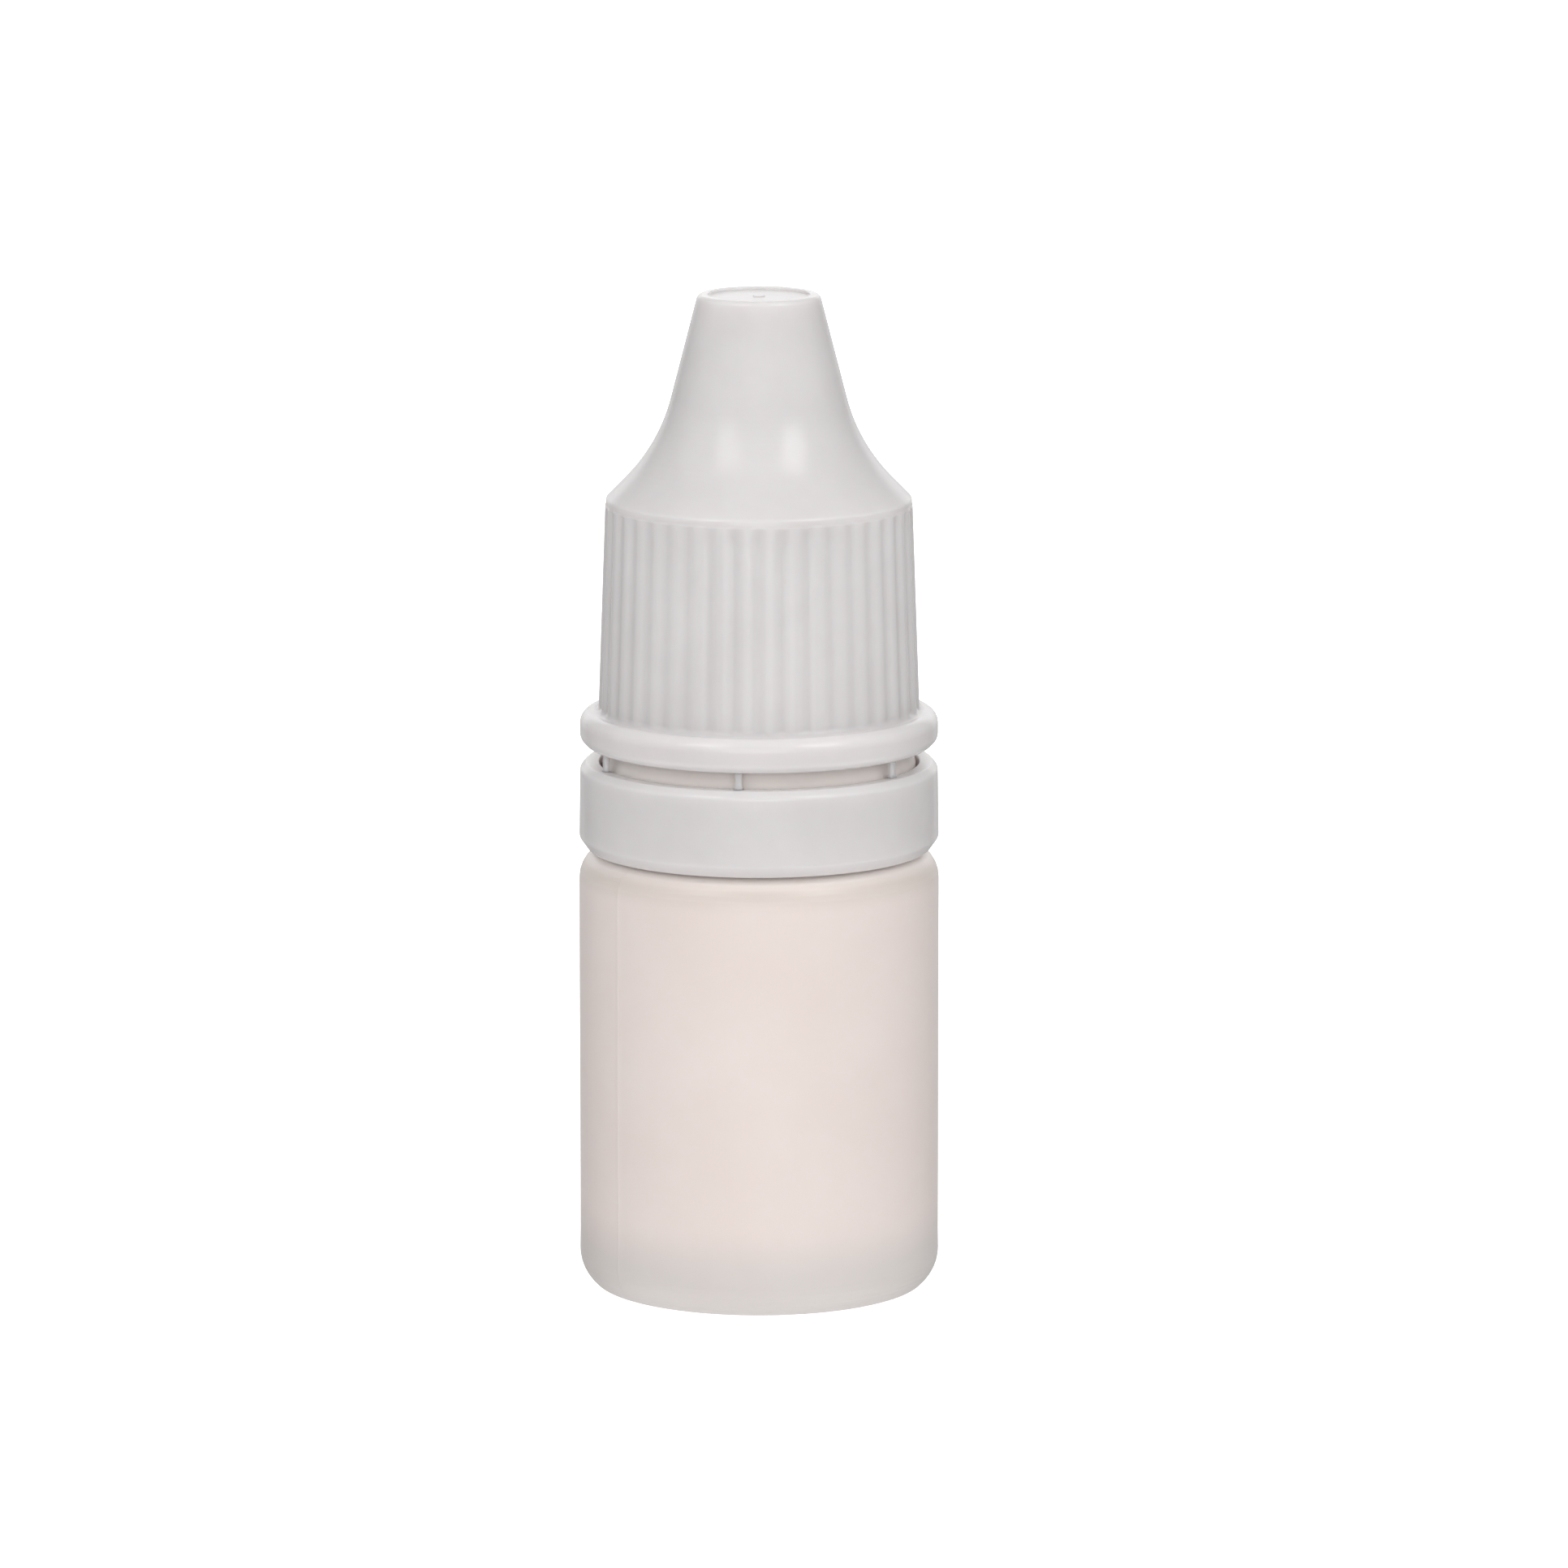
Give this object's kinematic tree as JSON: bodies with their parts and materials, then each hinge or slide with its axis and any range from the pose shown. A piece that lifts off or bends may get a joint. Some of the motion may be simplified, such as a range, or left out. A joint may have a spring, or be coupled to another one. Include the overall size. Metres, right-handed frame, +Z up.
{
  "type": "dropper bottle",
  "caption": "Small round squeeze bottle of translucent plastic with a press-in dropper tip, under a white ribbed conical screw cap with a break-off tamper band.",
  "frame": {"origin": "centre of the base, on the surface that the bottle stands on", "axes": "+Z up along the bottle's axis, towards the cap; the front is towards -Y"},
  "size_m": [0.021, 0.021, 0.0582],
  "materials": {
    "bottle_plastic": "milky translucent, softly satin",
    "tip_plastic": "milky translucent, satin",
    "cap_plastic": "white, semi-gloss moulded"
  },
  "bodies": {
    "bottle": {"bottle": "bottle_plastic", "dropper_tip": "tip_plastic"},
    "tamper_band": {"tamper_band": "cap_plastic", "band_bridges": "cap_plastic"},
    "cap": {"cap": "cap_plastic"}
  },
  "joints": [
    {"name": "cap_turn", "type": "hinge", "parent": "bottle", "child": "tamper_band", "pos_m": [0, 0, 0.0282], "axis": [0, 0, 1], "range_deg": [0, 3240]},
    {"name": "cap_lift", "type": "slide", "parent": "tamper_band", "child": "cap", "axis": [0, 0, 1], "range_m": [0, 0.0271]}
  ],
  "couplings": [
    {"joint": "cap_lift", "follows": "cap_turn", "m_per_rad": 0.00047746}
  ]
}
